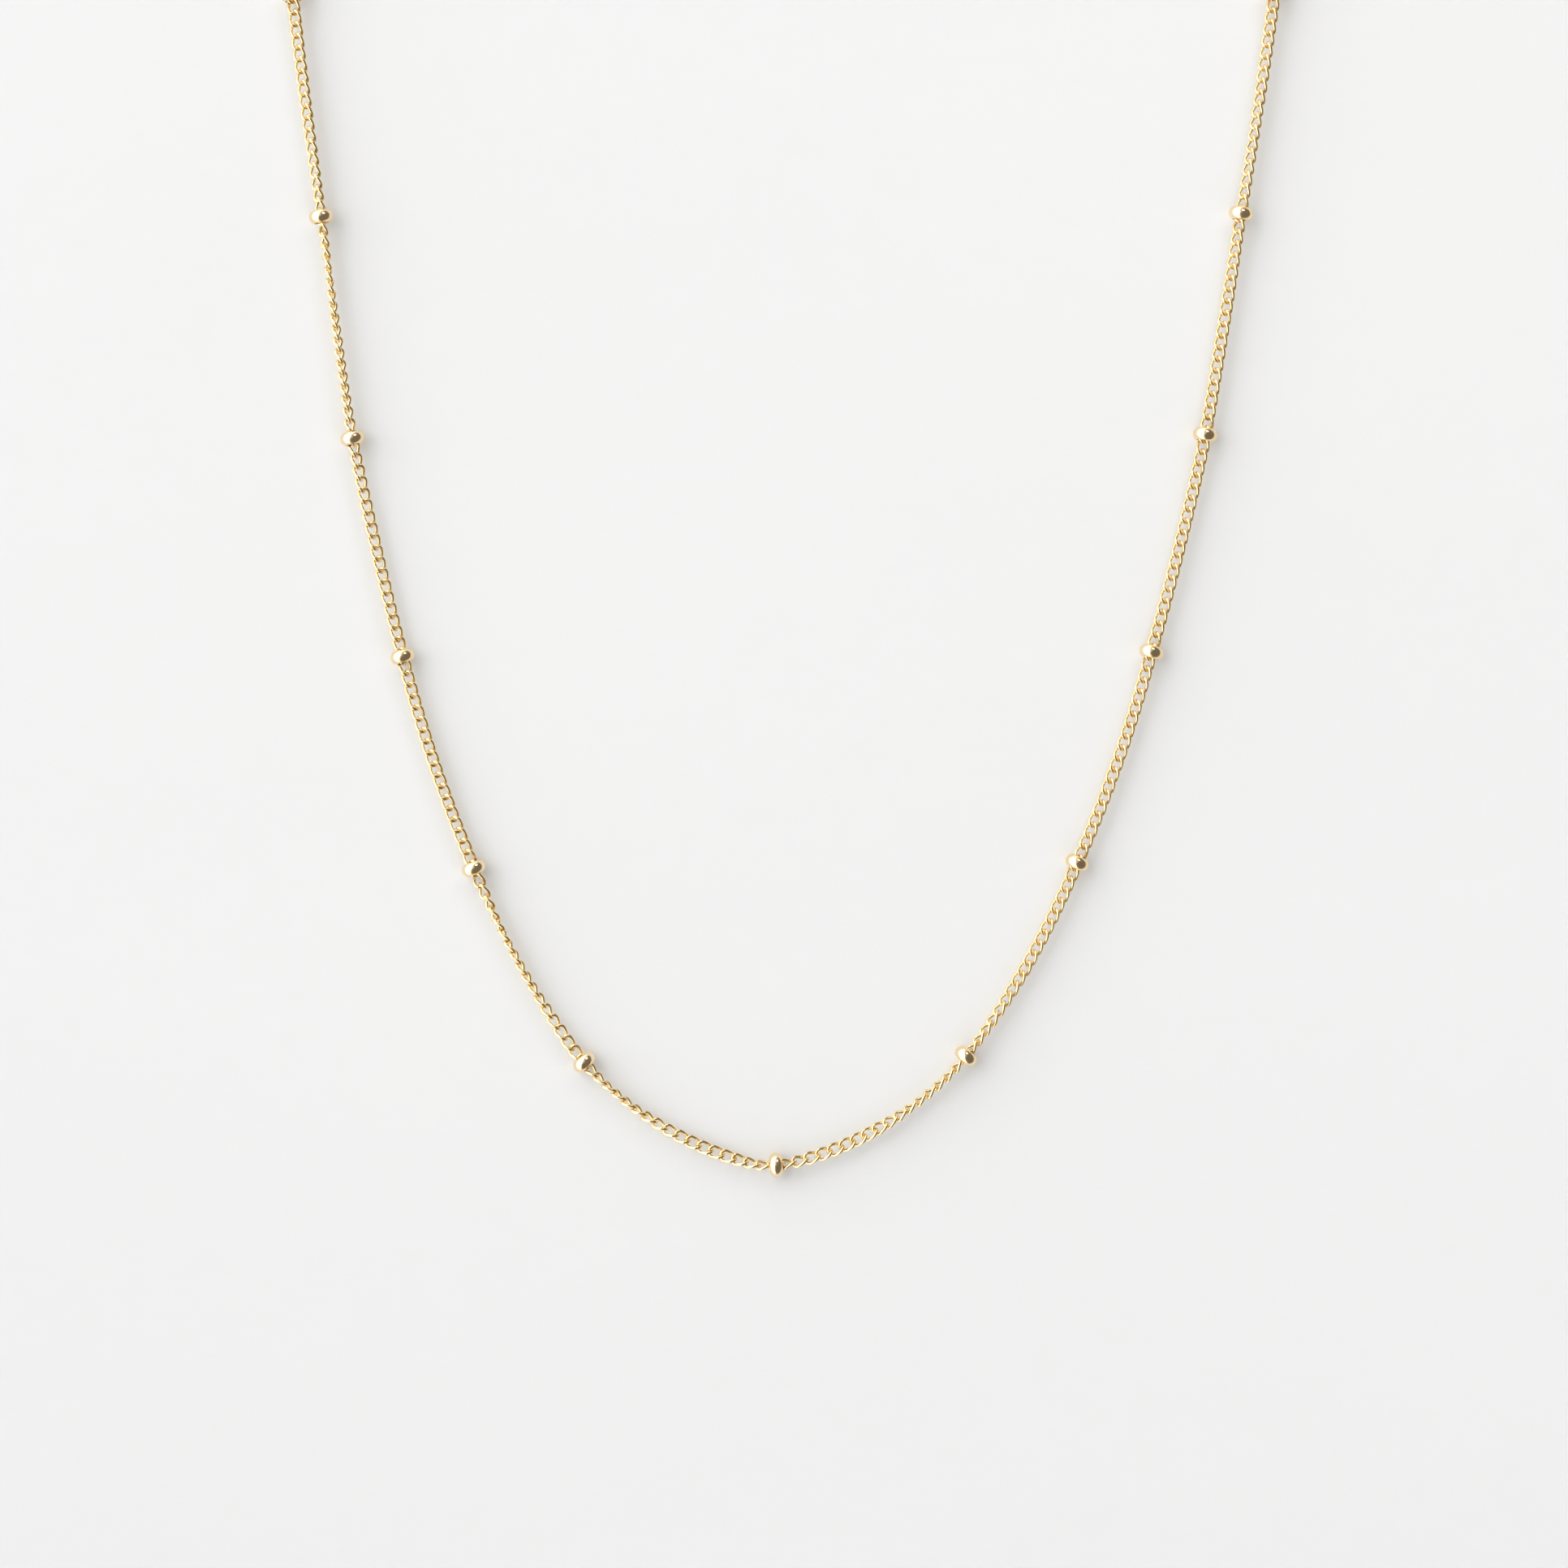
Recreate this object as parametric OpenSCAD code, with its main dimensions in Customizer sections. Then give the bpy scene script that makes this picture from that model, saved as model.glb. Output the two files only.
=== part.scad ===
// Station necklace: a fine curb chain, a whole loop, with polished beads at even distances.
// It hangs flat in the XZ plane. The origin is the middle of the clasp, where it hangs.
// Round the loop, s is the length from its lowest point, positive to the right.

/* [Chain] */
// Distance along the chain from the middle of one bead to the middle of the next
station_pitch = 20; // [16:1:26]
// Distance along the necklace, over the clasp, between the last beads of the two sides
clasp_span = 46; // [40:1:60]
// How far the beads sit to the right of even places about the lowest point
slip = 0.6; // [-1:0.1:1]
// Outside width of the curb chain
chain_w = 1.15; // [0.8:0.05:1.3]

/* [Beads] */
// Outside width of a bead
bead_d = 2.2; // [1.8:0.1:3]
// Length of a bead along the chain
bead_l = 1.15; // [0.8:0.05:1.8]
// Width of the flat rim round the hole of a bead
bead_rim = 0.1; // [0.05:0.05:0.2]
// Clearance between the chain and the hole of a bead, all round
bead_gap = 0.1; // [0.1:0.05:0.2]

/* [Clasp] */
// Outside width of the clasp ring
clasp_d = 5.5; // [5:0.5:8]
// Thickness of the clasp ring
clasp_wire = 1.1; // [0.8:0.1:1.4]
// Outside width of the eyelet that is soldered to the clasp ring
eyelet_d = 2.6; // [2.4:0.1:3.4]
// Thickness of the wire of the eyelet
eyelet_wire = 0.6; // [0.4:0.05:0.7]
// Width of the thumb knob on the clasp ring
knob_d = 0.8; // [0.6:0.1:1]
// How far the thumb knob stands out of the clasp ring
knob_h = 0.6; // [0.4:0.1:1]
// Outside width of the rings that join the clasp to the chain
end_ring_d = 3; // [2.8:0.1:4]
// Thickness of the wire of those rings
end_ring_wire = 0.5; // [0.4:0.05:0.55]
// Outside width of the loop that closes each end of the chain
chain_loop_d = 1.7; // [1.6:0.1:2.2]
// Thickness of the wire of that loop
chain_loop_wire = 0.35; // [0.3:0.05:0.4]
// Gap between two rings that pass through each other
ring_gap = 0.1; // [0.1:0.05:0.15]

/* [Hidden] */
// Beads in all, an odd number with one at the bottom
bead_count = 19;
side_count = (bead_count - 1) / 2;
function bead_name(i) = str("bead_", i < 10 ? "0" : "", i);
gold = "goldenrod";
pale_gold = "khaki";
$fn = 48;

// The slope of the chain as it leaves a bead and as it meets the next one up,
// in degrees above level, for the stretches of one side from the lowest point up
slopes = [[13, 46], [54, 67], [67, 75], [75, 78], [81, 82], [81, 83]];
// The chain bends about a bead over this length on each side of it
bend_l = 1.2;
// Straight chain beside the clasp before the hidden stretch starts to curve
lead_l = 2.25;
tube_sides = 8;

// Distance between the middles of two rings that pass through each other, pulled apart
function link_step(d1, w1, d2, w2) = (d1 + d2) / 2 - w1 - w2 - ring_gap;

eyelet_step = (clasp_d - clasp_wire + eyelet_d - eyelet_wire) / 2;
left_ring_step = link_step(eyelet_d, eyelet_wire, end_ring_d, end_ring_wire);
right_ring_step = link_step(clasp_d, clasp_wire, end_ring_d, end_ring_wire);
loop_step = link_step(end_ring_d, end_ring_wire, chain_loop_d, chain_loop_wire);
left_reach = eyelet_step + left_ring_step + loop_step;
right_reach = right_ring_step + loop_step;
clasp_x = (left_reach - right_reach) / 2;
loop_x = (left_reach + right_reach) / 2;
chain_end_x = loop_x + (chain_loop_d - chain_loop_wire) / 2;

// One side of the loop as arcs, each [length, slope at its start, slope at its end]
stretches = len(slopes);
shown_l = stretches * station_pitch;
shown_arcs = concat(
    [[bend_l, 0, slopes[0][0]]],
    [for (k = [0:stretches - 1])
        each [[station_pitch - (k < stretches - 1 ? 2 : 1) * bend_l, slopes[k][0], slopes[k][1]],
              if (k < stretches - 1) [2 * bend_l, slopes[k][1], slopes[k + 1][0]]]]);

// The straight line across an arc or a part of one, as [x, z]
function chord(length, slope_1, slope_2) =
    let (turn = (slope_2 - slope_1) / 2, mean = (slope_1 + slope_2) / 2)
    length * (turn == 0 ? 1 : sin(turn) / (turn * PI / 180)) * [cos(mean), sin(mean)];
function arcs_sum(arcs, i = 0) =
    i == len(arcs) ? [0, 0] : chord(arcs[i][0], arcs[i][1], arcs[i][2]) + arcs_sum(arcs, i + 1);

// Above the shown arcs the side runs straight, turns in one arc and ends level at the clasp
shown_x = arcs_sum(shown_arcs)[0];
side_l = side_count * station_pitch + clasp_span / 2;
top_slope = slopes[stretches - 1][1];
lean = 90 - top_slope;
level_l = chain_end_x + lead_l;
turn_rad = (180 - top_slope) * PI / 180;
rise_l = (side_l - shown_l - level_l - (shown_x - level_l) * turn_rad / cos(lean))
    / (1 + tan(lean) * turn_rad);
turn_r = (shown_x - level_l + rise_l * sin(lean)) / cos(lean);
side_arcs = concat(shown_arcs, [
    [rise_l, top_slope, top_slope],
    [turn_r * turn_rad, top_slope, 180],
    [level_l, 180, 180]]);
drop = arcs_sum(side_arcs)[1];

// The point of one side at length s from the lowest point, as [x, height]
function side_point(s, i = 0) =
    let (arc = side_arcs[i])
    i == len(side_arcs) - 1 || s <= arc[0]
        ? chord(s, arc[1], arc[1] + (arc[2] - arc[1]) * s / arc[0])
        : chord(arc[0], arc[1], arc[2]) + side_point(s - arc[0], i + 1);
// The point of the whole loop at length s, as [x, y, z]
function route(s) =
    let (p = side_point(abs(s)))
    [sign(s) * p[0], 0, p[1] - drop];

// The chain runs straight through each bead, between two of these places round the loop
function station_s(i) = slip + (i - 1 - side_count) * station_pitch;
function unit(v) = v / norm(v);
chain_end_s = side_l - chain_end_x;
first_gap = station_s(1) - bend_l + chain_end_s;
last_gap = chain_end_s - station_s(bead_count) - bend_l;
span_l = station_pitch - 2 * bend_l;
ring_places = concat(
    [for (t = [0:2]) -chain_end_s + first_gap * t / 3],
    [for (i = [1:bead_count - 1]) each [
        station_s(i) - bend_l,
        station_s(i) + bend_l,
        station_s(i) + bend_l + span_l / 3,
        station_s(i) + bend_l + span_l * 2 / 3]],
    [station_s(bead_count) - bend_l],
    [for (t = [0:3]) chain_end_s - last_gap * (3 - t) / 3]);

// A straight-sided tube of width d along points in the XZ plane
module tube(points, d) {
    n = len(points);
    rings = [for (i = [0:n - 1])
        let (along = unit(points[min(i + 1, n - 1)] - points[max(i - 1, 0)]),
             across = [-along[2], 0, along[0]])
        for (k = [0:tube_sides - 1])
            let (a = (k + 0.5) * 360 / tube_sides)
            points[i] + d / 2 * (cos(a) * across + sin(a) * [0, 1, 0])];
    sides = [for (i = [0:n - 2], k = [0:tube_sides - 1])
        let (a = i * tube_sides + k,
             b = i * tube_sides + (k + 1) % tube_sides)
        each [[a, b, a + tube_sides], [b, b + tube_sides, a + tube_sides]]];
    first_end = [for (k = [tube_sides - 1:-1:0]) k];
    last_end = [for (k = [0:tube_sides - 1]) (n - 1) * tube_sides + k];
    polyhedron(rings, concat(sides, [first_end, last_end]));
}

// A round ring of round wire in the XY plane, with its outside width and its wire
module wire_ring(d, wire) {
    rotate_extrude()
        translate([(d - wire) / 2, 0])
            circle(d = wire);
}

// The curb chain as one smooth cord of its width, with a soldered loop at each end
module chain() {
    color(gold) {
        tube([for (s = ring_places) route(s)], chain_w);
        for (side = [-1, 1])
            translate([side * loop_x, 0, 0])
                rotate([90, 0, 0])
                    wire_ring(chain_loop_d, chain_loop_wire);
    }
}

// A drilled bead with a round side and flat ends, on its place along the chain
module bead(i) {
    low = route(station_s(i) - bend_l);
    high = route(station_s(i) + bend_l);
    bore_r = chain_w / 2 + bead_gap;
    end_r = bore_r + bead_rim;
    bulge = bead_d / 2 - end_r;
    side_r = (bulge * bulge + bead_l * bead_l / 4) / (2 * bulge);
    color(pale_gold)
        translate((low + high) / 2)
            rotate([0, 90 - atan2(high[2] - low[2], high[0] - low[0]), 0])
                rotate_extrude()
                    intersection() {
                        translate([bead_d / 2 - side_r, 0])
                            circle(r = side_r);
                        translate([bore_r, -bead_l / 2])
                            square([bead_d / 2, bead_l]);
                    }
}

// A plain closed ring clasp with its eyelet on the left and a thumb knob on top
module clasp() {
    color(gold)
        translate([clasp_x, 0, 0]) {
            rotate([90, 0, 0])
                wire_ring(clasp_d, clasp_wire);
            translate([-eyelet_step, 0, 0])
                rotate([90, 0, 0])
                    wire_ring(eyelet_d, eyelet_wire);
            translate([0, 0, clasp_d / 2 - clasp_wire / 2])
                cylinder(h = clasp_wire / 2 + knob_h, d = knob_d);
        }
}

// A ring between the clasp and the end of the chain, on its place beside the clasp
module end_ring(x) {
    color(gold)
        translate([x, 0, 0])
            wire_ring(end_ring_d, end_ring_wire);
}

module end_ring_left() {
    end_ring(clasp_x - eyelet_step - left_ring_step);
}

module end_ring_right() {
    end_ring(clasp_x + right_ring_step);
}

chain();
clasp();
end_ring_left();
end_ring_right();
for (i = [1:bead_count])
    bead(i);
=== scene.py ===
import math

import bpy
import numpy as np
from mathutils import Matrix, Vector


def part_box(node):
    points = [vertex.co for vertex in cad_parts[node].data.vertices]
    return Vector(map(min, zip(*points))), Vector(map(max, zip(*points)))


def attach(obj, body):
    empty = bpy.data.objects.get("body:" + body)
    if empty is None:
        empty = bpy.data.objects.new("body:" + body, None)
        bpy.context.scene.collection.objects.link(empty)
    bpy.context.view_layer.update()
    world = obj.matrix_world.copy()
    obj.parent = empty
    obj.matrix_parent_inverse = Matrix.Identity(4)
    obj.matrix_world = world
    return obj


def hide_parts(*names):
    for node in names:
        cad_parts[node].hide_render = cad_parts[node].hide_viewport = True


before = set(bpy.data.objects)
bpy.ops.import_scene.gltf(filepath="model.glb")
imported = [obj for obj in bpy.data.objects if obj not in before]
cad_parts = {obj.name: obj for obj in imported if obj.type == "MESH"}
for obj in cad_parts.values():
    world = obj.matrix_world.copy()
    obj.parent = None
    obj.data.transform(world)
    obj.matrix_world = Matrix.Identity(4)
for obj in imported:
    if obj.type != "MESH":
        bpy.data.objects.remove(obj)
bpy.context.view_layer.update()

# A station necklace of fine curb chain that hangs flat before a pale wall, in the XZ plane.
# Lengths that end in _MM are millimetres, and s is the length round the loop from its lowest
# point, positive to the right, as in the part's source. All meshes are in metres.
MM = 0.001

# The loop, with the same sizes as the solids
STATION_PITCH_MM = 20.0
CLASP_SPAN_MM = 46.0
SLIP_MM = 0.6
BEAD_COUNT = 19
SIDE_COUNT = (BEAD_COUNT - 1) // 2
SLOPES = [(13, 46), (54, 67), (67, 75), (75, 78), (81, 82), (81, 83)]
BEND_MM = 1.2
LEAD_MM = 2.25

# Rings: outside width and wire, and the gap between rings that pass through each other
CLASP_MM = (5.5, 1.1)
EYELET_MM = (2.6, 0.6)
END_RING_MM = (3.0, 0.5)
CHAIN_LOOP_MM = (1.7, 0.35)
RING_GAP_MM = 0.1
RING_STEPS = 96
RING_SIDES = 24
CLASP_STEPS = 144
CLASP_SIDES = 32

# The clasp's thumb knob: width, height out of the ring, rounding of its top, depth of its turned
# grooves and how far each lies below its top
KNOB_MM = (0.8, 0.6)
KNOB_ROUND_MM = 0.1
KNOB_GROOVE_MM = 0.025
KNOB_GROOVES_MM = (0.42, 0.3, 0.18)

# Radii of the lump of solder between the clasp ring and its eyelet
SOLDER_MM = (0.34, 0.34, 0.62)

# The cut through each end ring: its width, the rounding of its edges and its place in radians
END_SLIT_MM = 0.02
END_SLIT_EDGE_MM = 0.03
END_CUTS = {"end_ring_left": 1.9, "end_ring_right": 1.2}

# One curb link: wire, outside width, the length of its opening, and its twist to either end
WIRE_MM = 0.3
LINK_W_MM = 1.25
OPENING_MM = 1.12
LINK_TWIST = -45.0
LINK_STEPS = 36
WIRE_SIDES = 12
# Links from the middle of one bead to the middle of the next: fewer in a few stretches,
# which are counted from 0 at the clasp's left end
STATION_LINKS = 19
LONG_STRETCHES = (8, 9, 10)
LONG_STATION_LINKS = 18
# Clearance between the last link of either end and the wire of the chain's loop
HOOK_GAP_MM = 0.02

# A bead: outside width, length, width of its hole, flat rim, and the rounding of its outer edges
# and of the edges of its hole
BEAD_D_MM = 2.2
BEAD_L_MM = 1.15
BEAD_HOLE_MM = 1.35
BEAD_RIM_MM = 0.1
BEAD_EDGE_MM = 0.05
BEAD_HOLE_EDGE_MM = 0.04
BEAD_TURNS = 96

# How far the chain is turned about itself, in degrees, at places round the loop in mm. The links
# show face-on near 0, 180 and 360, and edge-on near 90 and 270.
ROLLS = [(-197, 45), (-186, 10), (-125, 10), (-117, 14), (-113, 26), (-108, 33), (-105, 44),
         (-101, 52), (-98, 62), (-95, 82), (-92, 98), (-88, 107), (-83, 107), (-80.5, 120),
         (-78, 131), (-75.5, 138), (-73, 146), (-70, 151), (-62, 151), (-58, 158), (-55, 168),
         (-53, 176), (-50, 180), (-42, 180), (-39.5, 192), (-37.5, 222), (-35.5, 252), (-33, 268),
         (-31, 280), (-27, 287), (-25, 302), (-23.5, 322), (-21.5, 338), (-20, 332), (-16.5, 275),
         (-12.5, 286), (-10, 312), (-8, 335), (-6, 342), (-3.6, 332), (-1.6, 302), (0.6, 284),
         (2, 300), (4, 332), (7, 348), (9, 345), (11.5, 310), (14, 280), (20, 282), (22.5, 290),
         (25, 303), (27.5, 326), (29.5, 341), (36, 342), (44, 342), (49, 352), (54, 350),
         (60, 344), (68, 347), (74, 348), (83, 343), (92, 341), (95, 330), (98, 318), (101, 317),
         (103, 312), (107, 308), (111, 312), (113, 324), (118, 330), (130, 335), (186, 355),
         (197, 315)]


def link_step(one, other):
    """Distance between the middles of two rings that pass through each other, pulled apart."""
    return (one[0] + other[0]) / 2 - one[1] - other[1] - RING_GAP_MM


EYELET_STEP_MM = (CLASP_MM[0] - CLASP_MM[1] + EYELET_MM[0] - EYELET_MM[1]) / 2
LOOP_STEP_MM = link_step(END_RING_MM, CHAIN_LOOP_MM)
LEFT_REACH_MM = EYELET_STEP_MM + link_step(EYELET_MM, END_RING_MM) + LOOP_STEP_MM
RIGHT_REACH_MM = link_step(CLASP_MM, END_RING_MM) + LOOP_STEP_MM
CLASP_X_MM = (LEFT_REACH_MM - RIGHT_REACH_MM) / 2
LOOP_X_MM = (LEFT_REACH_MM + RIGHT_REACH_MM) / 2
CHAIN_END_X_MM = LOOP_X_MM + (CHAIN_LOOP_MM[0] - CHAIN_LOOP_MM[1]) / 2


def chord(length, slope_1, slope_2):
    """The straight line across an arc between two slopes in degrees, as (x, height)."""
    turn = math.radians(slope_2 - slope_1) / 2
    mean = math.radians(slope_1 + slope_2) / 2
    across = length * (math.sin(turn) / turn if turn else 1)
    return across * math.cos(mean), across * math.sin(mean)


def side_arcs():
    """One side as arcs (length, slope at its start, slope at its end), its height and its length."""
    arcs = [(BEND_MM, 0, SLOPES[0][0])]
    for k, (leave, arrive) in enumerate(SLOPES):
        if k < len(SLOPES) - 1:
            arcs.append((STATION_PITCH_MM - 2 * BEND_MM, leave, arrive))
            arcs.append((2 * BEND_MM, arrive, SLOPES[k + 1][0]))
        else:
            arcs.append((STATION_PITCH_MM - BEND_MM, leave, arrive))
    shown_x = sum(chord(*arc)[0] for arc in arcs)
    side_l = SIDE_COUNT * STATION_PITCH_MM + CLASP_SPAN_MM / 2
    top_slope = SLOPES[-1][1]
    lean = math.radians(90 - top_slope)
    turn = math.radians(180 - top_slope)
    level_l = CHAIN_END_X_MM + LEAD_MM
    spare_l = side_l - len(SLOPES) * STATION_PITCH_MM - level_l
    rise_l = (spare_l - (shown_x - level_l) * turn / math.cos(lean)) / (1 + math.tan(lean) * turn)
    turn_r = (shown_x - level_l + rise_l * math.sin(lean)) / math.cos(lean)
    arcs += [(rise_l, top_slope, top_slope), (turn_r * turn, top_slope, 180), (level_l, 180, 180)]
    return arcs, sum(chord(*arc)[1] for arc in arcs), side_l


ARCS, DROP_MM, SIDE_L_MM = side_arcs()


def route(s):
    """The point of the loop at length s, in mm."""
    left = abs(s)
    x = height = 0.0
    for k, (length, slope_1, slope_2) in enumerate(ARCS):
        part = min(left, length) if k < len(ARCS) - 1 else left
        step = chord(part, slope_1, slope_1 + (slope_2 - slope_1) * part / length)
        x += step[0]
        height += step[1]
        left -= part
        if left <= 0:
            break
    return Vector((math.copysign(x, s), 0, height - DROP_MM))


# The one link inside each bead, from joint to joint
INSIDE_MM = STATION_PITCH_MM / STATION_LINKS


def station_s(i):
    """Place of the middle of bead i, counted from 1, round the loop."""
    return SLIP_MM + (i - 1 - SIDE_COUNT) * STATION_PITCH_MM


def chain_point(s):
    """The middle of the chain at length s: the route, but straight through each bead."""
    nearest = round((s - SLIP_MM) / STATION_PITCH_MM) * STATION_PITCH_MM + SLIP_MM
    off = (s - nearest) / BEND_MM
    if abs(off) >= 1 or abs(nearest) > SIDE_COUNT * STATION_PITCH_MM + abs(SLIP_MM):
        return route(s)
    low, high = route(nearest - BEND_MM), route(nearest + BEND_MM)
    return low.lerp(high, (off + 1) / 2)


# Meshes

def new_piece(name, parts, material, replaced):
    """One object from (vertices in mm, faces) parts, riding on the body in place of CAD nodes."""
    vertices = np.concatenate([v for v, _ in parts]) * MM
    faces = []
    start = 0
    for part_vertices, part_faces in parts:
        faces += [[corner + start for corner in face] for face in part_faces]
        start += len(part_vertices)
    mesh = bpy.data.meshes.new(name)
    mesh.from_pydata(vertices.tolist(), [], faces)
    mesh.shade_smooth()
    mesh.materials.append(material)
    piece = bpy.data.objects.new(name, mesh)
    bpy.context.scene.collection.objects.link(piece)
    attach(piece, "root")
    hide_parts(*replaced)
    return piece


def grid_faces(rows, columns):
    """Quads of a surface that closes both ways, for vertices laid row by row."""
    r, c = np.meshgrid(np.arange(rows), np.arange(columns), indexing="ij")
    a = r * columns + c
    b = r * columns + (c + 1) % columns
    d = (r + 1) % rows * columns + c
    e = (r + 1) % rows * columns + (c + 1) % columns
    return np.stack([a, b, e, d], -1).reshape(-1, 4).tolist()


def closed_tube(points, wire, sides=WIRE_SIDES):
    """A round wire along a closed line of points, with its seam turned so that the ends meet."""
    n = len(points)
    along = np.roll(points, -1, 0) - np.roll(points, 1, 0)
    along /= np.linalg.norm(along, axis=1)[:, None]
    normal = np.cross(along[0], [0, 0, 1.0])
    if np.linalg.norm(normal) < 0.1:
        normal = np.cross(along[0], [0, 1.0, 0])
    normals = []
    for k in range(n + 1):
        normal = normal - along[k % n] * (normal @ along[k % n])
        normal = normal / np.linalg.norm(normal)
        normals.append(normal)
    first_side = np.cross(along[0], normals[0])
    spare = math.atan2(normals[n] @ first_side, normals[n] @ normals[0])
    rings = []
    for k in range(n):
        turn = np.arange(sides) * 2 * math.pi / sides - spare * k / n
        side = np.cross(along[k], normals[k])
        offset = np.outer(np.cos(turn), normals[k]) + np.outer(np.sin(turn), side)
        rings.append(points[k] + wire / 2 * offset)
    return np.concatenate(rings), grid_faces(n, sides)


def link_line():
    """Middle line of a curb link along X: a rounded slot shape, twisted about X."""
    reach = (OPENING_MM + WIRE_MM) / 2
    radius = (LINK_W_MM - WIRE_MM) / 2
    flat = reach - radius
    arc_l = math.pi * radius
    whole = 2 * arc_l + 4 * flat
    points = []
    for k in range(LINK_STEPS):
        t = k * whole / LINK_STEPS
        half, t = divmod(t, whole / 2)
        if t < arc_l:
            angle = t / radius - math.pi / 2
            x, y = flat + radius * math.cos(angle), radius * math.sin(angle)
        else:
            x, y = flat - (t - arc_l), radius
        if half:
            x, y = -x, -y
        twist = math.radians(LINK_TWIST) * x / reach
        points.append((x, y * math.cos(twist), y * math.sin(twist)))
    return np.array(points)


def ring_line(width, wire, steps=RING_STEPS):
    """Middle line of a round ring in the XY plane."""
    turn = np.arange(steps) * 2 * math.pi / steps
    radius = (width - wire) / 2
    return np.stack([radius * np.cos(turn), radius * np.sin(turn), 0 * turn], 1)


def slit_ring(width, wire, at):
    """A round ring of wire in the XY plane, cut through once at an angle, its ends a slit apart."""
    radius = (width - wire) / 2
    half = END_SLIT_MM / radius / 2
    edge = END_SLIT_EDGE_MM
    rows = [(at + half, wire / 2 - edge), (at + half + edge / radius, wire / 2)]
    ends = (at + half + edge / radius, at - half - edge / radius + 2 * math.pi)
    rows += [(angle, wire / 2) for angle in np.linspace(*ends, RING_STEPS)[1:-1]]
    rows += [(ends[1], wire / 2), (at - half + 2 * math.pi, wire / 2 - edge)]
    vertices = []
    for angle, wire_r in rows:
        for k in range(RING_SIDES):
            turn = 2 * math.pi * k / RING_SIDES
            reach = radius + wire_r * math.cos(turn)
            x, y = reach * math.cos(angle), reach * math.sin(angle)
            vertices.append((x, y, wire_r * math.sin(turn)))
    faces = grid_faces(len(rows), RING_SIDES)[:(len(rows) - 1) * RING_SIDES]
    last = len(vertices) - 1
    faces += [list(range(RING_SIDES)), list(range(last, last - RING_SIDES, -1))]
    return np.array(vertices), faces


def placed(part, matrix):
    """A (vertices, faces) part moved by a matrix in mm."""
    vertices, faces = part
    m = np.array(matrix)
    return vertices @ m[:3, :3].T + m[:3, 3], faces


def along_matrix(point, direction, roll):
    """Puts X along a direction in the XZ plane and turns Y by a roll out of that plane."""
    angle = math.atan2(direction.z, direction.x)
    stand = Matrix.Rotation(math.radians(90), 4, "X")
    return (Matrix.Translation(point) @ Matrix.Rotation(-angle, 4, "Y")
            @ stand @ Matrix.Rotation(math.radians(roll), 4, "X"))


def roll_at(s):
    places, rolls = zip(*ROLLS)
    return float(np.interp(s, places, rolls))


def joint_places():
    """Places round the loop where one link hangs in the next, span by span between beads.
    The last link of either end hooks into the wire of the chain's loop."""
    hook = (CHAIN_LOOP_MM[1] + WIRE_MM) / 2 + HOOK_GAP_MM
    end = SIDE_L_MM - CHAIN_END_X_MM + hook - (OPENING_MM + WIRE_MM - INSIDE_MM) / 2
    stations = [station_s(i) for i in range(1, BEAD_COUNT + 1)]
    knots = [-end] + [s + side * INSIDE_MM / 2 for s in stations for side in (-1, 1)] + [end]
    spans = []
    for k in range(0, len(knots), 2):
        links = round((knots[k + 1] - knots[k]) * STATION_LINKS / STATION_PITCH_MM)
        if k // 2 in LONG_STRETCHES:
            links = LONG_STATION_LINKS - 1
        spans.append(np.linspace(knots[k], knots[k + 1], links + 1))
    return spans


def lathe(profile):
    """A closed outline of (radius, height) points turned about Z."""
    turn = np.arange(BEAD_TURNS) * 2 * math.pi / BEAD_TURNS
    r, z = np.array(profile).T
    x = np.outer(np.cos(turn), r)
    y = np.outer(np.sin(turn), r)
    vertices = np.stack([x, y, np.broadcast_to(z, x.shape)], -1).reshape(-1, 3)
    return vertices, grid_faces(BEAD_TURNS, len(profile))


def turned(profile, turns=48):
    """A solid turned about Z from a line of (radius, height) points between two points on Z."""
    vertices = [(0, 0, profile[0][1])]
    for r, z in profile[1:-1]:
        for k in range(turns):
            turn = 2 * math.pi * k / turns
            vertices.append((r * math.cos(turn), r * math.sin(turn), z))
    vertices.append((0, 0, profile[-1][1]))
    last = len(vertices) - 1
    faces = []
    for k in range(turns):
        near = (k + 1) % turns
        faces.append([0, 1 + near, 1 + k])
        for row in range(len(profile) - 3):
            a = 1 + row * turns
            faces.append([a + k, a + near, a + turns + near, a + turns + k])
        faces.append([last, last - turns + k, last - turns + near])
    return np.array(vertices), faces


def knob_profile():
    """The clasp's thumb knob: a round stud with fine turned grooves and a rounded top."""
    radius, height = KNOB_MM[0] / 2, KNOB_MM[1]
    foot = CLASP_MM[0] / 2 - CLASP_MM[1] / 2
    top = CLASP_MM[0] / 2 + height
    round_r, groove = KNOB_ROUND_MM, KNOB_GROOVE_MM
    profile = [(0, foot), (radius, foot)]
    for below in KNOB_GROOVES_MM:
        middle = top - below
        profile += [(radius, middle - groove), (radius - groove, middle), (radius, middle + groove)]
    profile += [(radius - round_r + round_r * math.cos(a), top - round_r + round_r * math.sin(a))
                for a in np.linspace(0, math.pi / 2, 7)]
    return profile + [(0, top)]


def solder(middle, radii):
    """A small smooth lump of solder as an egg shape of three radii in mm."""
    line = [(math.cos(a), math.sin(a)) for a in np.linspace(-math.pi / 2, math.pi / 2, 13)]
    line[0], line[-1] = (0, -1), (0, 1)
    vertices, faces = turned(line, RING_SIDES)
    return vertices * np.array(radii) + np.array(middle), faces


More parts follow.
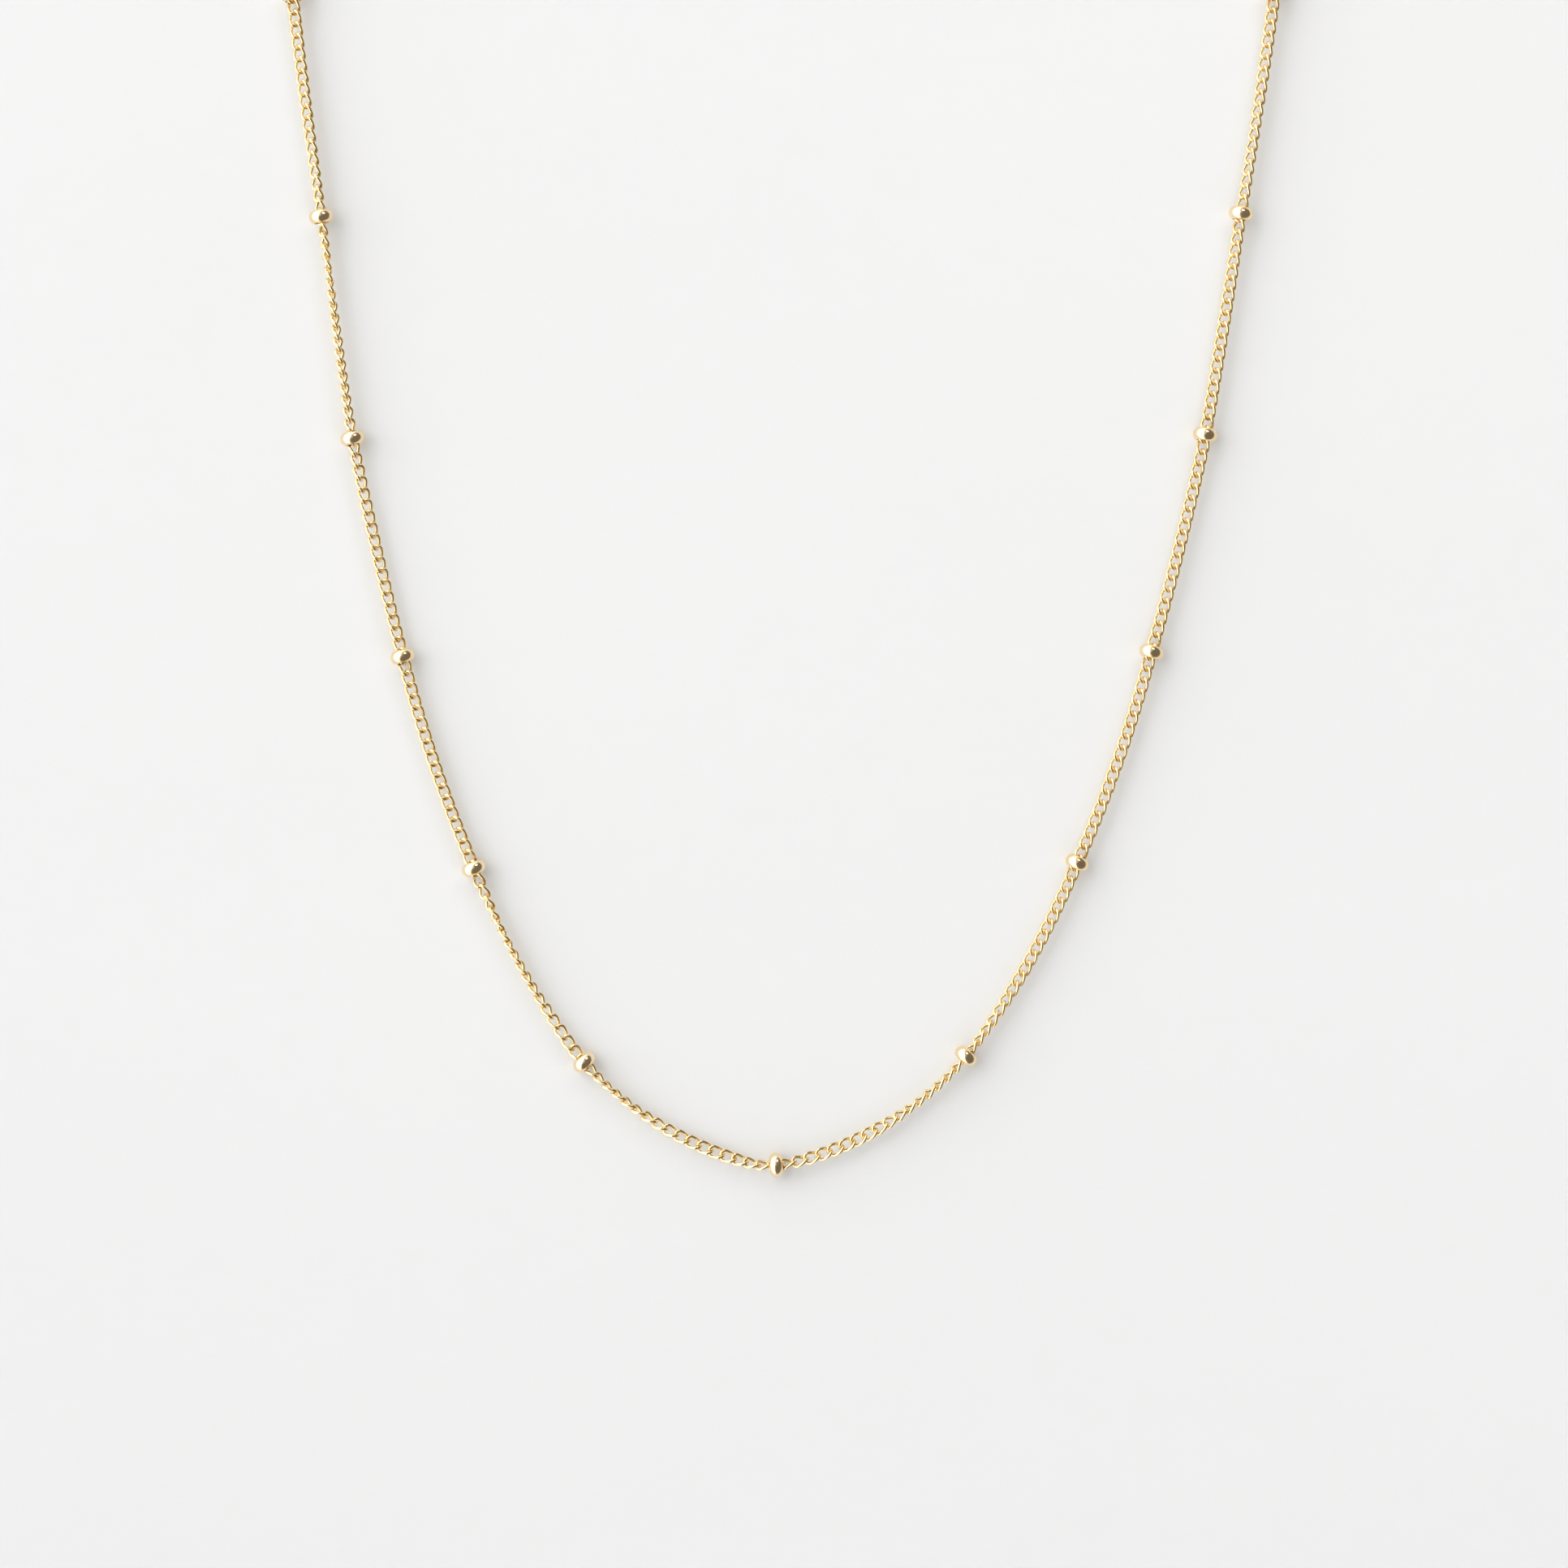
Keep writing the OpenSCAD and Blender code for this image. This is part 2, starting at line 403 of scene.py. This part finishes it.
def bead_profile():
    """Half outline of a bead: round side, rounded edge, flat rim and rounded edge of the hole."""
    half, out_r = BEAD_L_MM / 2, BEAD_D_MM / 2
    hole_r = BEAD_HOLE_MM / 2
    bulge = out_r - hole_r - BEAD_RIM_MM
    side_r = (bulge ** 2 + half ** 2) / (2 * bulge)
    inner = side_r - BEAD_EDGE_MM
    side_x = out_r - side_r
    reach = math.asin((half - BEAD_EDGE_MM) / inner)
    corner = (side_x + inner * math.cos(reach), half - BEAD_EDGE_MM)
    upper = [(side_x + side_r * math.cos(a), side_r * math.sin(a))
             for a in np.linspace(0, reach, 14)]
    upper += [(corner[0] + BEAD_EDGE_MM * math.cos(a), corner[1] + BEAD_EDGE_MM * math.sin(a))
              for a in np.linspace(reach, math.pi / 2, 7)[1:]]
    rim = BEAD_HOLE_EDGE_MM
    upper += [(hole_r + rim - rim * math.sin(a), half - rim + rim * math.cos(a))
              for a in np.linspace(0, math.pi / 2, 5)]
    lower = [(r, -z) for r, z in reversed(upper[1:])]
    return upper + lower


# Materials

# The golds: colour, warmer tone, roughness and how fine the tone changes
CHAIN_GOLD = ((0.96, 0.76, 0.44), (0.90, 0.69, 0.35), 0.11, 900)
BEAD_GOLD = ((0.97, 0.79, 0.52), (0.94, 0.74, 0.45), 0.17, 500)
CLASP_GOLD = ((0.98, 0.77, 0.46), (0.94, 0.69, 0.36), 0.13, 500)


def gold_material(name, colour, warm, roughness, grain):
    """Polished gold plate with a faint change of tone, fine scratches and soft polishing waves."""
    material = bpy.data.materials.new(name)
    material.use_nodes = True
    nodes, links = material.node_tree.nodes, material.node_tree.links
    shader = nodes["Principled BSDF"]
    shader.inputs["Metallic"].default_value = 1.0
    place = nodes.new("ShaderNodeTexCoord")

    tone = nodes.new("ShaderNodeTexNoise")
    tone.inputs["Scale"].default_value = grain
    tone.inputs["Detail"].default_value = 3
    links.new(place.outputs["Object"], tone.inputs["Vector"])
    colours = nodes.new("ShaderNodeValToRGB")
    colours.color_ramp.elements[0].position = 0.35
    colours.color_ramp.elements[0].color = (*warm, 1)
    colours.color_ramp.elements[1].position = 0.65
    colours.color_ramp.elements[1].color = (*colour, 1)
    links.new(tone.outputs["Fac"], colours.inputs["Fac"])
    links.new(colours.outputs["Color"], shader.inputs["Base Color"])

    scratches = nodes.new("ShaderNodeTexNoise")
    scratches.inputs["Scale"].default_value = grain * 12
    scratches.inputs["Detail"].default_value = 5
    stretch = nodes.new("ShaderNodeMapping")
    stretch.inputs["Rotation"].default_value = (0.3, 0.5, 0.8)
    stretch.inputs["Scale"].default_value = (0.12, 1, 1)
    links.new(place.outputs["Object"], stretch.inputs["Vector"])
    links.new(stretch.outputs["Vector"], scratches.inputs["Vector"])
    dull = nodes.new("ShaderNodeMapRange")
    dull.inputs["From Min"].default_value = 0.35
    dull.inputs["From Max"].default_value = 0.7
    dull.inputs["To Min"].default_value = roughness * 0.75
    dull.inputs["To Max"].default_value = roughness * 1.6
    links.new(scratches.outputs["Fac"], dull.inputs["Value"])
    links.new(dull.outputs["Result"], shader.inputs["Roughness"])

    bump = nodes.new("ShaderNodeBump")
    bump.inputs["Strength"].default_value = 0.05
    bump.inputs["Distance"].default_value = 0.02 * MM
    links.new(scratches.outputs["Fac"], bump.inputs["Height"])
    links.new(bump.outputs["Normal"], shader.inputs["Normal"])
    return material


def wall_material(one_sided):
    """Smooth pale board with a barely seen unevenness. From behind, the wall can be see-through."""
    material = bpy.data.materials.new("pale_wall" if one_sided else "pale_floor")
    material.use_nodes = True
    nodes, links = material.node_tree.nodes, material.node_tree.links
    shader = nodes["Principled BSDF"]
    shader.inputs["Roughness"].default_value = 0.9
    shader.inputs["Specular IOR Level"].default_value = 0.1
    mottle = nodes.new("ShaderNodeTexNoise")
    mottle.inputs["Scale"].default_value = 18
    colours = nodes.new("ShaderNodeValToRGB")
    colours.color_ramp.elements[0].color = (0.815, 0.82, 0.825, 1)
    colours.color_ramp.elements[1].color = (0.835, 0.84, 0.845, 1)
    links.new(mottle.outputs["Fac"], colours.inputs["Fac"])
    links.new(colours.outputs["Color"], shader.inputs["Base Color"])
    if one_sided:
        clear = nodes.new("ShaderNodeBsdfTransparent")
        side = nodes.new("ShaderNodeNewGeometry")
        mix = nodes.new("ShaderNodeMixShader")
        links.new(side.outputs["Backfacing"], mix.inputs["Fac"])
        links.new(shader.outputs["BSDF"], mix.inputs[1])
        links.new(clear.outputs["BSDF"], mix.inputs[2])
        links.new(mix.outputs["Shader"], nodes["Material Output"].inputs["Surface"])
    return material


# The necklace

def build_chain(material):
    link = closed_tube(link_line(), WIRE_MM)
    for k, joints in enumerate(joint_places()):
        parts = []
        for s_1, s_2 in zip(joints[:-1], joints[1:]):
            parts.append(link_between(link, s_1, s_2))
        new_piece(f"chain_span_{k + 1:02d}", parts, material, ["chain"])
    for i in range(1, BEAD_COUNT + 1):
        inside = link_between(link, station_s(i) - INSIDE_MM / 2, station_s(i) + INSIDE_MM / 2)
        new_piece(f"bead_link_{i:02d}", [inside], material, ["chain"])
    for side, name in ((-1, "left"), (1, "right")):
        stand = Matrix.Translation((side * LOOP_X_MM, 0, 0)) @ Matrix.Rotation(math.pi / 2, 4, "X")
        loop = placed(closed_tube(ring_line(*CHAIN_LOOP_MM), CHAIN_LOOP_MM[1], RING_SIDES), stand)
        new_piece(f"chain_loop_{name}", [loop], material, ["chain"])


def link_between(link, s_1, s_2):
    """A link from one joint of the chain to the next."""
    start, end = chain_point(s_1), chain_point(s_2)
    return placed(link, along_matrix((start + end) / 2, end - start, roll_at((s_1 + s_2) / 2)))


def build_beads(material):
    bead = lathe(bead_profile())
    lay = Matrix.Rotation(math.pi / 2, 4, "Y")
    for i in range(1, BEAD_COUNT + 1):
        low, high = route(station_s(i) - BEND_MM), route(station_s(i) + BEND_MM)
        matrix = along_matrix((low + high) / 2, high - low, 0) @ lay
        name = f"bead_{i:02d}"
        new_piece(f"station_{name}", [placed(bead, matrix)], material, [name])


def build_clasp(material):
    stand = Matrix.Rotation(math.pi / 2, 4, "X")
    middle = Matrix.Translation((CLASP_X_MM, 0, 0))
    ring_tube = closed_tube(ring_line(*CLASP_MM, CLASP_STEPS), CLASP_MM[1], CLASP_SIDES)
    ring = placed(ring_tube, middle @ stand)
    eyelet = placed(closed_tube(ring_line(*EYELET_MM), EYELET_MM[1], RING_SIDES),
                    middle @ Matrix.Translation((-EYELET_STEP_MM, 0, 0)) @ stand)
    join_x = CLASP_X_MM - (CLASP_MM[0] - CLASP_MM[1] / 4) / 2
    joint = solder((join_x, 0, 0), SOLDER_MM)
    knob = placed(turned(knob_profile()), middle)
    new_piece("clasp_body", [ring, eyelet, joint, knob], material, ["clasp"])
    for node, cut in END_CUTS.items():
        low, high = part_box(node)
        ring = slit_ring(*END_RING_MM, cut)
        middle = Matrix.Translation((low + high) / 2 / MM)
        new_piece(f"joining_{node}", [placed(ring, middle)], material, [node])


# Camera, lights and stage

# The bright parts of the room, to the left, overhead and beside the camera: direction, cosines of
# the angles off it where the glow starts and is full, and brightness against white
LEFT_GLOW = ((-0.92, 0.36, 0.12), -0.22, 0.14, 1.85)
CEILING_GLOW = ((-0.3, 0, 1), 0.70, 0.95, 0.9)
FRONT_GLOW = ((-0.35, -0.93, 0.30), 0.83, 1.0, 0.58)
# Brightness that the whole room has, its tint where it is dim, and the plain background
DIM_LIGHT = 0.18
DIM_TINT = (1.0, 0.88, 0.72, 1)
BACKGROUND = (0.86, 0.86, 0.855, 1)

# The two lamps: place and size in metres and brightness against white. Both aim at LAMPS_AIM.
WINDOW = ((-0.93, -0.84, 0.10), (1.55, 1.35), 0.5)
LAMP = ((0.22, -0.50, 0.38), (0.26, 0.26), 2.6)
LAMPS_AIM = (0, 0, -0.125)

# The photograph is square. One mm at the necklace is PX_PER_MM pixels, and the lowest point of
# the loop is at LOWEST_PX, with the loop's axis leaning a little to the right.
PHOTO_PX = 1932
PX_PER_MM = 13.7875
LOWEST_PX = (948.2, 1437.3)
LEAN_RAD = 0.0111
SENSOR_MM = 36.0
LENS_MM = 100.0


def build_camera():
    data = bpy.data.cameras.new("camera")
    data.sensor_width = SENSOR_MM
    data.lens = LENS_MM
    camera = bpy.data.objects.new("camera", data)
    bpy.context.scene.collection.objects.link(camera)
    right = Vector((math.cos(LEAN_RAD), 0, math.sin(LEAN_RAD)))
    up = Vector((-math.sin(LEAN_RAD), 0, math.cos(LEAN_RAD)))
    back = right.cross(up)
    frame_mm = PHOTO_PX / PX_PER_MM
    away_mm = frame_mm * LENS_MM / SENSOR_MM
    lowest = Vector((0, 0, -DROP_MM))
    across_px, above_px = PHOTO_PX / 2 - LOWEST_PX[0], LOWEST_PX[1] - PHOTO_PX / 2
    offset = (across_px * right + above_px * up) / PX_PER_MM
    turn = Matrix((right, up, back)).transposed().to_4x4()
    camera.matrix_world = Matrix.Translation((lowest + offset + away_mm * back) * MM) @ turn
    bpy.context.scene.camera = camera


def area_light(name, place, size, brightness):
    """A rectangular light that looks as bright as brightness times white."""
    data = bpy.data.lights.new(name, "AREA")
    data.shape = "RECTANGLE"
    data.size, data.size_y = size
    data.energy = brightness * math.pi * size[0] * size[1]
    light = bpy.data.objects.new(name, data)
    light.location = place
    aim = Vector(LAMPS_AIM) - Vector(place)
    light.rotation_euler = aim.to_track_quat("-Z", "Y").to_euler()
    bpy.context.scene.collection.objects.link(light)


def build_world():
    """A bright room to the left, a pale ceiling, a pale spot beside the camera, and a dim warm
    room elsewhere. Seen straight, as a background, it is one pale grey."""
    world = bpy.data.worlds.new("studio")
    bpy.context.scene.world = world
    world.use_nodes = True
    nodes, links = world.node_tree.nodes, world.node_tree.links
    room = nodes["Background"]
    place = nodes.new("ShaderNodeTexCoord")

    def toward(direction, start, end, value):
        """A value for what lies toward a direction, full from the cosine end and 0 below start."""
        dot = nodes.new("ShaderNodeVectorMath")
        dot.operation = "DOT_PRODUCT"
        dot.inputs[1].default_value = Vector(direction).normalized()
        links.new(place.outputs["Generated"], dot.inputs[0])
        fade = nodes.new("ShaderNodeMapRange")
        fade.interpolation_type = "SMOOTHSTEP"
        fade.inputs["From Min"].default_value = start
        fade.inputs["From Max"].default_value = end
        fade.inputs["To Max"].default_value = value
        links.new(dot.outputs["Value"], fade.inputs["Value"])
        return fade.outputs["Result"]

    bright = toward(*LEFT_GLOW)
    for glow in (CEILING_GLOW, FRONT_GLOW):
        brighter = nodes.new("ShaderNodeMath")
        brighter.operation = "MAXIMUM"
        links.new(bright, brighter.inputs[0])
        links.new(toward(*glow), brighter.inputs[1])
        bright = brighter.outputs["Value"]
    level = nodes.new("ShaderNodeMath")
    level.operation = "ADD"
    level.inputs[1].default_value = DIM_LIGHT
    links.new(bright, level.inputs[0])
    links.new(level.outputs["Value"], room.inputs["Strength"])
    tint = nodes.new("ShaderNodeValToRGB")
    tint.color_ramp.elements[0].color = DIM_TINT
    tint.color_ramp.elements[1].color = (1.0, 1.0, 1.0, 1)
    tint.color_ramp.elements[1].position = 0.5
    links.new(bright, tint.inputs["Fac"])
    links.new(tint.outputs["Color"], room.inputs["Color"])

    plain = nodes.new("ShaderNodeBackground")
    plain.inputs["Color"].default_value = BACKGROUND
    path = nodes.new("ShaderNodeLightPath")
    mix = nodes.new("ShaderNodeMixShader")
    links.new(path.outputs["Is Camera Ray"], mix.inputs["Fac"])
    links.new(room.outputs["Background"], mix.inputs[1])
    links.new(plain.outputs["Background"], mix.inputs[2])
    links.new(mix.outputs["Shader"], nodes["World Output"].inputs["Surface"])


# How far the wall is behind the chain: at the lowest point it nearly touches the beads, and at the
# clasp it clears the end rings
WALL_LOW_Y_MM = 1.15
WALL_TOP_Y_MM = 1.65
WALL_TOP_Z_MM = 500
FLOOR_Z_MM = -230.0
FLOOR_REACH_MM = 1200
STAGE_HALF_W_MM = 700


def wall_point(x, z):
    return x, WALL_TOP_Y_MM + (WALL_LOW_Y_MM - WALL_TOP_Y_MM) * z / -DROP_MM, z


def stage_plane(name, corners, material):
    mesh = bpy.data.meshes.new(name)
    mesh.from_pydata([Vector(c) * MM for c in corners], [], [(0, 1, 2, 3)])
    mesh.materials.append(material)
    plane = bpy.data.objects.new(name, mesh)
    bpy.context.scene.collection.objects.link(plane)
    return plane


def build_stage():
    """A wall close behind the necklace and a floor below it, which the gold doesn't mirror."""
    side, deep = STAGE_HALF_W_MM, FLOOR_REACH_MM
    wall = [wall_point(x, z) for x, z in ((-side, FLOOR_Z_MM), (side, FLOOR_Z_MM),
                                          (side, WALL_TOP_Z_MM), (-side, WALL_TOP_Z_MM))]
    stage_plane("wall", wall, wall_material(True))
    floor = [(x, y, FLOOR_Z_MM) for x, y in ((-side, -deep), (side, -deep),
                                             (side, deep), (-side, deep))]
    stage_plane("floor", floor, wall_material(False)).visible_glossy = False


def build_lights():
    area_light("window", *WINDOW)
    area_light("lamp", *LAMP)


# How far colour spreads in the photograph beyond the detail that carries it, as a share of the
# picture's width, and the gamma between stored light and shown light
COLOUR_SPREAD = 0.008
GAMMA = 2.2


def soften_colour():
    """Spreads the picture's colour a little and keeps light and dark sharp, as in the photo."""
    scene = bpy.context.scene
    scene.use_nodes = True
    tree = scene.node_tree
    nodes, links = tree.nodes, tree.links
    nodes.clear()
    picture = nodes.new("CompositorNodeRLayers")
    limit = nodes.new("CompositorNodeMixRGB")
    limit.blend_type = "ADD"
    limit.use_clamp = True
    limit.inputs[0].default_value = 1.0
    limit.inputs[2].default_value = (0, 0, 0, 1)
    links.new(picture.outputs["Image"], limit.inputs[1])
    display = nodes.new("CompositorNodeGamma")
    display.inputs["Gamma"].default_value = 1 / GAMMA
    links.new(limit.outputs["Image"], display.inputs["Image"])
    split = nodes.new("CompositorNodeSeparateColor")
    split.mode = "YUV"
    links.new(display.outputs["Image"], split.inputs[0])
    join = nodes.new("CompositorNodeCombineColor")
    join.mode = "YUV"
    links.new(split.outputs[0], join.inputs[0])
    for k in (1, 2):
        spread = nodes.new("CompositorNodeBlur")
        spread.filter_type = "GAUSS"
        spread.use_relative = True
        spread.factor_x = spread.factor_y = 100 * COLOUR_SPREAD
        links.new(split.outputs[k], spread.inputs["Image"])
        links.new(spread.outputs["Image"], join.inputs[k])
    linear = nodes.new("CompositorNodeGamma")
    linear.inputs["Gamma"].default_value = GAMMA
    links.new(join.outputs["Image"], linear.inputs["Image"])
    finished = nodes.new("CompositorNodeComposite")
    links.new(linear.outputs["Image"], finished.inputs["Image"])


build_camera()
build_chain(gold_material("chain_gold", *CHAIN_GOLD))
build_beads(gold_material("bead_gold", *BEAD_GOLD))
build_clasp(gold_material("clasp_gold", *CLASP_GOLD))
build_stage()
build_world()
build_lights()
soften_colour()

scene = bpy.context.scene
scene.view_settings.view_transform = "Standard"
scene.view_settings.look = "None"

bpy.context.view_layer.update()
